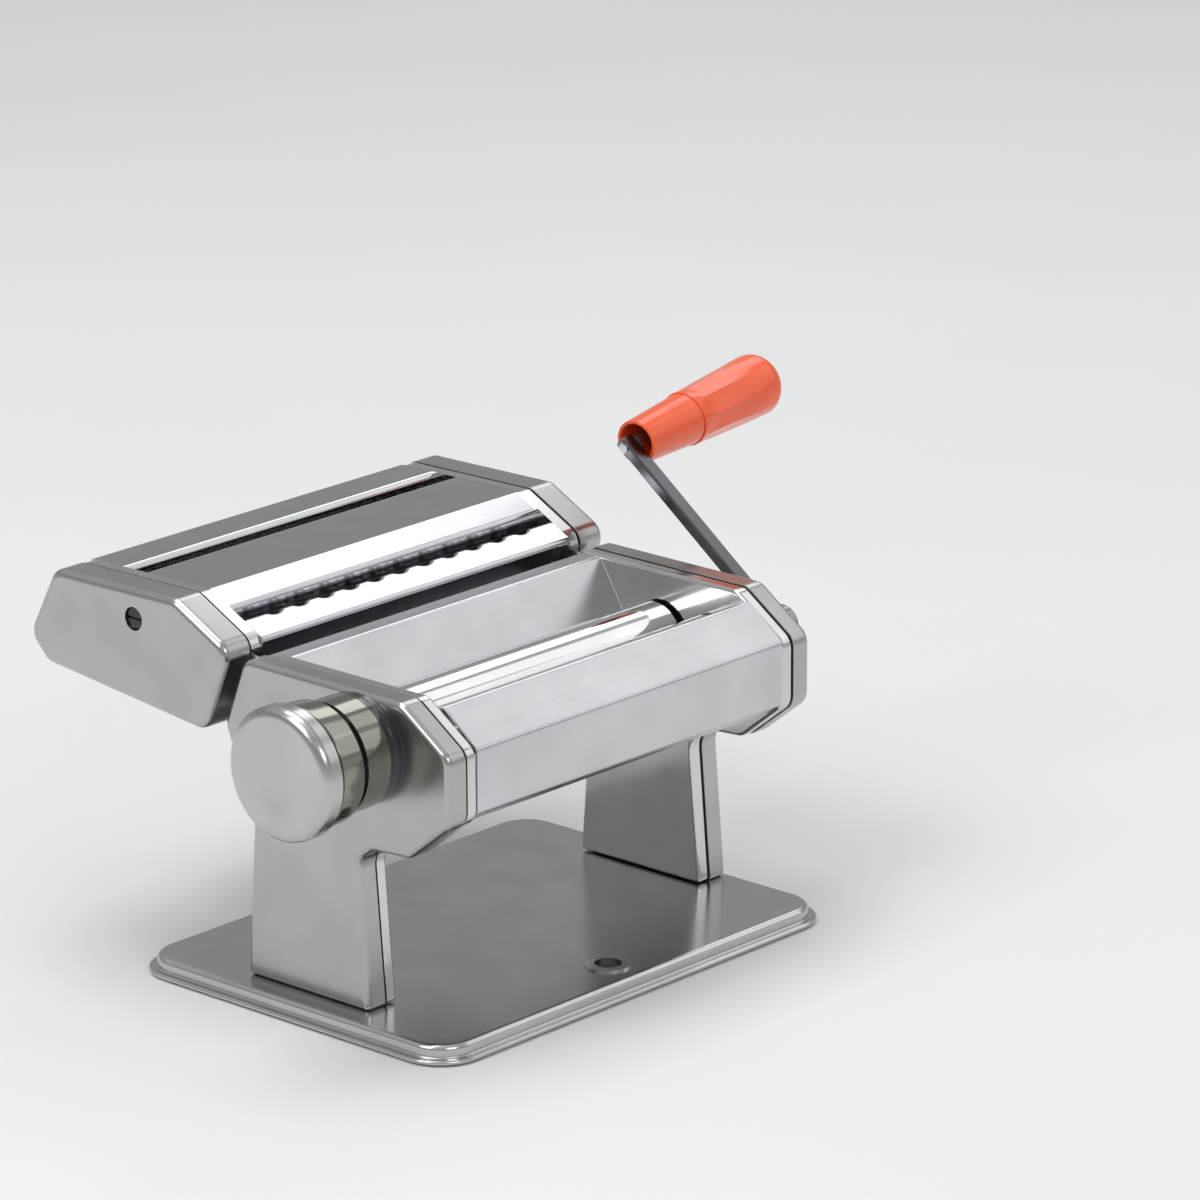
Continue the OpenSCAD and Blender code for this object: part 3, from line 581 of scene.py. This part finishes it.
knob_piece("dial_ring_turned", [(8, RING_X), (RING_R, RING_X, 0.3), (RING_R, RING_X + 2.2, 0.3),
                                (RING_R - 0.4, RING_X + 2.6, 0.2), (RING_R, RING_X + 3.0, 0.3),
                                (RING_R, COLLAR_X, 0.5), (8, COLLAR_X)],
           "dial_dark", "machine", ["dial_ring"])
knob_piece("knob_skirt_turned", [(SLEEVE_R, SKIRT_X, 0.2), (22.5, SKIRT_X, 0.7), (22.7, SKIRT_X + 3, 0.2),
                                 (23.3, BAND_X, 0.5), (SLEEVE_R, BAND_X)],
           "knob_metal", "knob", ["knob_skirt"])
knob_piece("knob_band_turned", [(SLEEVE_R, BAND_X), (BAND_R, BAND_X, 0.3), (BAND_R, CAP_X, 0.3),
                                (SLEEVE_R, CAP_X)],
           "black_plastic", "knob", ["knob_band"])
cap_profile = [(SLEEVE_R, CAP_X), (CAP_R - 0.3, CAP_X), (CAP_R, CAP_X + 0.4)]
cap_profile += [(CAP_R - CAP_RIM + CAP_RIM * math.cos(a), CAP_END - CAP_RIM + CAP_RIM * math.sin(a))
                for a in (math.pi / 2 * k / 14 for k in range(15))]
cap_profile += [(DISH_R * (1 - k / 14), CAP_END - DISH_DEPTH * (1 - (1 - k / 14) ** 2) ** 1.5)
                for k in range(15)]
cap_profile += [(0, CAP_END - 3), (SLEEVE_R - 1.5, CAP_END - 3), (SLEEVE_R, CAP_END - 4.5)]
knob_piece("knob_cap_turned", cap_profile, "cap_metal", "knob", ["knob_cap"])

# Crank: bar, hub and the orange grip
HUB_X, HUB_START, HUB_R, STUB_R = 117.8, 101, 7.5, 4
ARM_LEN, ARM_W, ARM_T, ARM_TURN, ARM_LEAN = 88.0, 4.4, 6.4, -47.6, -6.4
ON_CRANK = (Matrix.Translation((HUB_X * MM, FRONT_AXIS[0] * MM, FRONT_AXIS[1] * MM))
            @ Matrix.Rotation(math.radians(ARM_TURN), 4, "X")
            @ Matrix.Rotation(math.radians(ARM_LEAN), 4, "Y"))
ON_GRIP = ON_CRANK @ Matrix.Translation((0, 0, ARM_LEN * MM)) @ Matrix.Rotation(math.radians(90), 4, "Y")


def bar_ring(solid, z, half_t, half_w, r):
    corners = [(half_t, half_w, r), (-half_t, half_w, r), (-half_t, -half_w, r), (half_t, -half_w, r)]
    return flat_ring(solid, z, rounded(corners, 5))


s = Solid()
top = ARM_LEN + 3.5
rings = [bar_ring(s, z, ARM_T / 2 - g, ARM_W / 2 - g, 0.8)
         for z, g in ((5, 0.0), (top - 0.8, 0.0), (top - 0.25, 0.2), (top, 0.7))]
s.skin(rings)
s.cap([rings[0]], 0, 1)
s.cap([rings[-1]], 0, 1)
build("crank_arm_bar", s, "crank_steel", "crank", ["crank_arm"], matrix=ON_CRANK)
s = Solid()
turned(s, [(STUB_R, HUB_START), (HUB_R, HUB_START, 0.7), (HUB_R, HUB_START + 2.5, 0.3),
           (HUB_R - 0.3, HUB_START + 3, 0.3), (HUB_R, HUB_START + 3.5, 0.3), (HUB_R, HUB_X + 4, 1.0),
           (0, HUB_X + 4), (0, HUB_X - 6), (STUB_R, HUB_X - 6)],
       (0, FRONT_AXIS[0], FRONT_AXIS[1]), (1, 0, 0))
build("crank_arm_hub", s, "cast_hub", "crank")

GRIP_X, GRIP_STEP, GRIP_LEN, GRIP_R = 3.95, 30.0, 81.0, 12.1
PIN_BORE, STEP_R, END_R = 3.05, 10.6, 7
s = Solid()
turned(s, [(7.2, GRIP_X, 0.5), (8.6, GRIP_X, 0.6), (10.1, GRIP_X + GRIP_STEP, 0.5),
           (PIN_BORE, GRIP_X + GRIP_STEP), (PIN_BORE, GRIP_X + 18), (7.2, GRIP_X + 16, 1.0)],
       (0, 0, 0), (0, 0, 1))
build("grip_collar_moulded", s, "orange_plastic", "grip", ["grip_collar"], matrix=ON_GRIP)
grip_end = GRIP_X + GRIP_LEN
FLUTES = 9


def fluted(r, x, a):
    """Shallow flutes that start after the step and fade before the rounded end."""
    along = min(max((x - GRIP_X - GRIP_STEP - 1.5) / 6, 0), 1) * min(max((grip_end - 9 - x) / 22, 0), 1)
    wave = abs(math.cos(a * FLUTES / 2)) ** 0.8
    return r - 0.75 * along * wave if r > 9 else r


grip_profile = [(PIN_BORE, GRIP_X + GRIP_STEP), (STEP_R, GRIP_X + GRIP_STEP, 0.5)]
grip_profile += [(STEP_R + (GRIP_R - STEP_R) * k / 24,
                  GRIP_X + GRIP_STEP + 1 + (GRIP_LEN - 14 - GRIP_STEP) * k / 24)
                 for k in range(1, 25)]
grip_profile += [(GRIP_R - END_R + END_R * math.cos(a), grip_end - END_R + END_R * math.sin(a))
                 for a in (math.pi / 2 * k / 12 for k in range(13))]
grip_profile += [(0, grip_end), (0, grip_end - 9), (5, grip_end - 9), (5, grip_end - 12.4),
                 (PIN_BORE, grip_end - 12.4)]
s = Solid()
turned(s, grip_profile, (0, 0, 0), (0, 0, 1), segments=180, radius=fluted)
build("grip_body_moulded", s, "orange_plastic", "grip", ["grip_body"], matrix=ON_GRIP)

# ---------------------------------------------------------------- floor and studio light
FLOOR = 6.0
floor_mesh = bpy.data.meshes.new("floor")
floor_mesh.from_pydata([(-FLOOR, -FLOOR, 0), (FLOOR, -FLOOR, 0), (FLOOR, FLOOR, 0), (-FLOOR, FLOOR, 0)],
                       [], [(0, 1, 2, 3)])
floor = bpy.data.objects.new("floor", floor_mesh)
bpy.context.scene.collection.objects.link(floor)
paper = Surface("floor_paper")
paper.tint(paper.noise(3.0), (0.80, 0.80, 0.80), (0.82, 0.82, 0.82))
paper.shader.inputs["Roughness"].default_value = 0.9
paper.shader.inputs["Specular IOR Level"].default_value = 0.1
floor_mesh.materials.append(paper.material)

world = bpy.data.worlds.new("studio")
bpy.context.scene.world = world
world.use_nodes = True
wt = world.node_tree
background = wt.nodes["Background"]
place = wt.nodes.new("ShaderNodeTexCoord")
axes = wt.nodes.new("ShaderNodeSeparateXYZ")
ramp = wt.nodes.new("ShaderNodeValToRGB")
wt.links.new(place.outputs["Generated"], axes.inputs["Vector"])
wt.links.new(axes.outputs["Z"], ramp.inputs["Fac"])
wt.links.new(ramp.outputs["Color"], background.inputs["Color"])
ramp.color_ramp.elements[0].position = 0.0
ramp.color_ramp.elements[0].color = (0.60, 0.60, 0.61, 1)
ramp.color_ramp.elements[1].position = 1.0
ramp.color_ramp.elements[1].color = (0.80, 0.81, 0.83, 1)
for at, level in ((0.10, 0.52), (0.22, 0.36), (0.33, 0.33), (0.44, 0.36), (0.6, 0.55), (0.8, 0.42)):
    e = ramp.color_ramp.elements.new(at)
    e.color = (level, level * 1.01, level * 1.03, 1)
background.inputs["Strength"].default_value = 1.0


def softbox(name, direction, distance, size, radiance):
    """An area light that faces the machine from a direction, as bright as the radiance given."""
    middle = Vector((0, 0.02, 0.08))
    data = bpy.data.lights.new(name, "AREA")
    data.shape, data.size, data.size_y = "RECTANGLE", size[0], size[1]
    data.energy = radiance * math.pi * size[0] * size[1]
    obj = bpy.data.objects.new(name, data)
    bpy.context.scene.collection.objects.link(obj)
    away = Vector(direction).normalized()
    obj.location = middle + away * distance
    obj.rotation_euler = away.to_track_quat("Z", "Y").to_euler()


softbox("key", (-0.70, 0.10, 0.75), 2.0, (0.9, 0.9), 4.5)
softbox("front", (-0.25, -0.85, 0.55), 2.2, (0.9, 0.5), 4.5)
softbox("right_wall", (0.72, -0.62, 0.45), 2.2, (1.1, 0.9), 0.7)
softbox("plates", (0.69, 0.31, 0.70), 2.2, (0.7, 0.7), 1.7)
softbox("facet", (0.69, -0.20, 0.71), 2.2, (0.8, 0.8), 0.75)
softbox("top", (0.0, 0.25, 1.0), 2.0, (1.2, 0.9), 3.4)
bpy.context.scene.view_settings.view_transform = "Standard"
